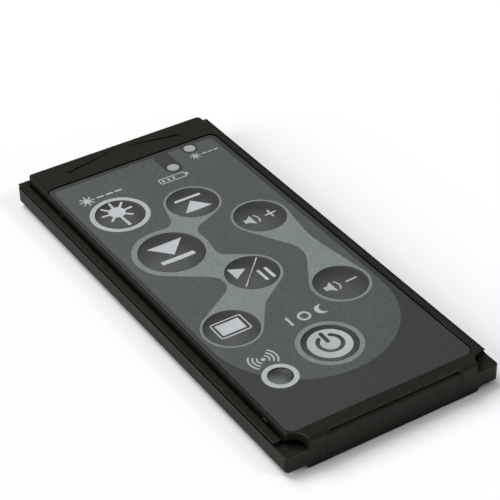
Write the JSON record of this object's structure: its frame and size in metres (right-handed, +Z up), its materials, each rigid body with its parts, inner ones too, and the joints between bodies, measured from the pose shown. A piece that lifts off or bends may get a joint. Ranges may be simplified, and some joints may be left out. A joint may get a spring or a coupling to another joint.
{
  "type": "laser pointer",
  "caption": "Flat card-format laser pointer and presentation remote with side rails, dished round keys on a printed film, a slide-out coin cell drawer and a laser in its far end.",
  "frame": {"origin": "bottom centre of the bounding box, on the underside of the keel", "axes": "+Y towards the laser end, +Z up through the keys, +X to the right when the laser points away"},
  "size_m": [0.034, 0.075, 0.005],
  "materials": {
    "case_plastic": "fine moulded texture",
    "film": "satin printed polyester",
    "key_plastic": "satin",
    "spring_steel": "rolled strip",
    "spacer_film": "milky film",
    "board": "solder mask on glass epoxy",
    "chip_resin": "moulded epoxy",
    "tinned_steel": "tin plate",
    "ceramic": "fired ceramic",
    "lamp_resin": "clear moulded resin",
    "clear_plastic": "frosted acrylic",
    "brass": "turned",
    "lens_glass": "polished",
    "cell_steel": "nickel-plated steel"
  },
  "bodies": {
    "case": {"lower_case": "case_plastic", "top_cover": "case_plastic", "overlay_film": "film", "dome_laser": "spring_steel", "dome_page_up": "spring_steel", "dome_page_down": "spring_steel", "dome_volume_up": "spring_steel", "dome_volume_down": "spring_steel", "dome_play": "spring_steel", "dome_screen": "spring_steel", "dome_power": "spring_steel", "dome_link": "spring_steel", "spacer_sheet": "spacer_film", "circuit_board": "board", "controller_chip": "chip_resin", "radio_shield": "tinned_steel", "crystal": "tinned_steel", "antenna": "ceramic", "laser_driver": "chip_resin", "chip_parts": "ceramic", "power_led": "lamp_resin", "laser_led": "lamp_resin", "power_led_window": "clear_plastic", "laser_led_window": "clear_plastic", "laser_barrel": "brass", "laser_diode": "tinned_steel", "laser_lens": "lens_glass", "lens_ring": "brass", "beam_window": "lens_glass", "contact_plus": "spring_steel", "contact_minus": "spring_steel"},
    "laser_key": {"key_laser": "key_plastic"},
    "page_up_key": {"key_page_up": "key_plastic"},
    "page_down_key": {"key_page_down": "key_plastic"},
    "volume_up_key": {"key_volume_up": "key_plastic"},
    "volume_down_key": {"key_volume_down": "key_plastic"},
    "play_key": {"key_play": "key_plastic"},
    "screen_key": {"key_screen": "key_plastic"},
    "power_key": {"key_power": "key_plastic"},
    "link_key": {"key_link": "key_plastic"},
    "battery_drawer": {"battery_tray": "case_plastic", "coin_cell": "cell_steel"}
  },
  "joints": [
    {"name": "laser_key_press", "type": "slide", "parent": "case", "child": "laser_key", "axis": [0, 0, -1], "range_m": [0, 0.0002], "stiffness_N_per_m": 4000, "deforming": ["dome_laser"]},
    {"name": "page_up_key_press", "type": "slide", "parent": "case", "child": "page_up_key", "axis": [0, 0, -1], "range_m": [0, 0.0002], "stiffness_N_per_m": 4000, "deforming": ["dome_page_up"]},
    {"name": "page_down_key_press", "type": "slide", "parent": "case", "child": "page_down_key", "axis": [0, 0, -1], "range_m": [0, 0.0002], "stiffness_N_per_m": 4000, "deforming": ["dome_page_down"]},
    {"name": "volume_up_key_press", "type": "slide", "parent": "case", "child": "volume_up_key", "axis": [0, 0, -1], "range_m": [0, 0.0002], "stiffness_N_per_m": 4000, "deforming": ["dome_volume_up"]},
    {"name": "volume_down_key_press", "type": "slide", "parent": "case", "child": "volume_down_key", "axis": [0, 0, -1], "range_m": [0, 0.0002], "stiffness_N_per_m": 4000, "deforming": ["dome_volume_down"]},
    {"name": "play_key_press", "type": "slide", "parent": "case", "child": "play_key", "axis": [0, 0, -1], "range_m": [0, 0.0002], "stiffness_N_per_m": 4000, "deforming": ["dome_play"]},
    {"name": "screen_key_press", "type": "slide", "parent": "case", "child": "screen_key", "axis": [0, 0, -1], "range_m": [0, 0.0002], "stiffness_N_per_m": 4000, "deforming": ["dome_screen"]},
    {"name": "power_key_press", "type": "slide", "parent": "case", "child": "power_key", "axis": [0, 0, -1], "range_m": [0, 0.0002], "stiffness_N_per_m": 4000, "deforming": ["dome_power"]},
    {"name": "link_key_press", "type": "slide", "parent": "case", "child": "link_key", "axis": [0, 0, -1], "range_m": [0, 0.0002], "stiffness_N_per_m": 4000, "deforming": ["dome_link"]},
    {"name": "battery_drawer_slide", "type": "slide", "parent": "case", "child": "battery_drawer", "axis": [0, -1, 0], "range_m": [0, 0.0215]}
  ]
}
